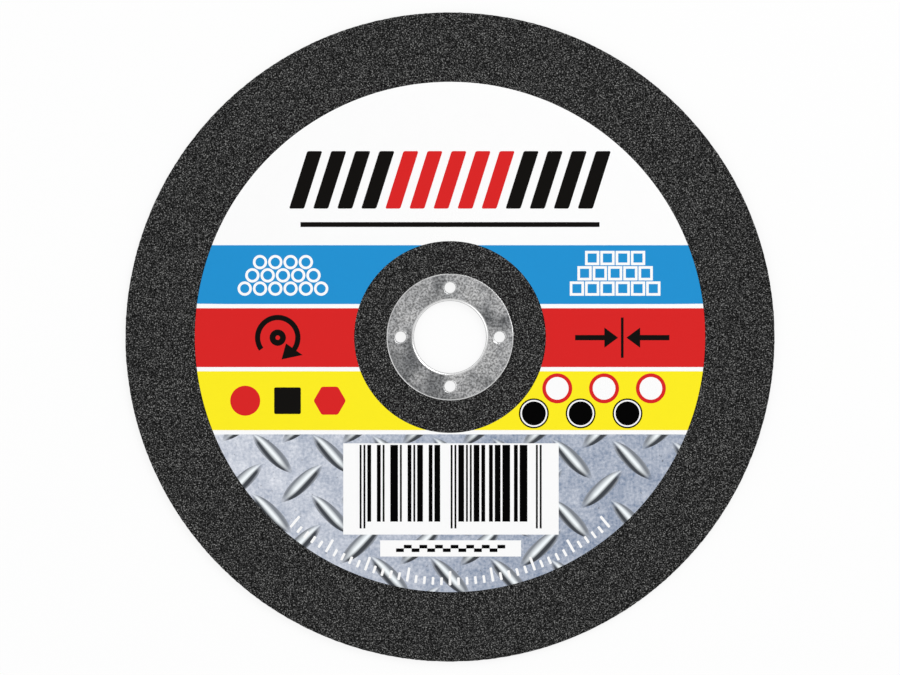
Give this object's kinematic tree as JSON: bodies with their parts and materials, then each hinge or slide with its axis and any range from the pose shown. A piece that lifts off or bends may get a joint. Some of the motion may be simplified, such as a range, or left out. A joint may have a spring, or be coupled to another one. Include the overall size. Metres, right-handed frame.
{
  "type": "cut-off wheel",
  "caption": "Thin flat abrasive wheel with a drawn steel ring in its centre bore and a round paper label, clamped on an angle grinder to cut metal.",
  "frame": {"origin": "on the wheel's axis, at the back face that it lies on", "axes": "+Z along the bore's axis, out of the label side; +Y towards the top of the label's print; +X to the right of it"},
  "size_m": [0.2, 0.2, 0.0019],
  "materials": {
    "abrasive": "matte",
    "steel_ring": "satin",
    "label_paper": "satin"
  },
  "bodies": {
    "root": {"abrasive_disc": "abrasive", "centre_ring": "steel_ring", "label": "label_paper"}
  },
  "joints": []
}
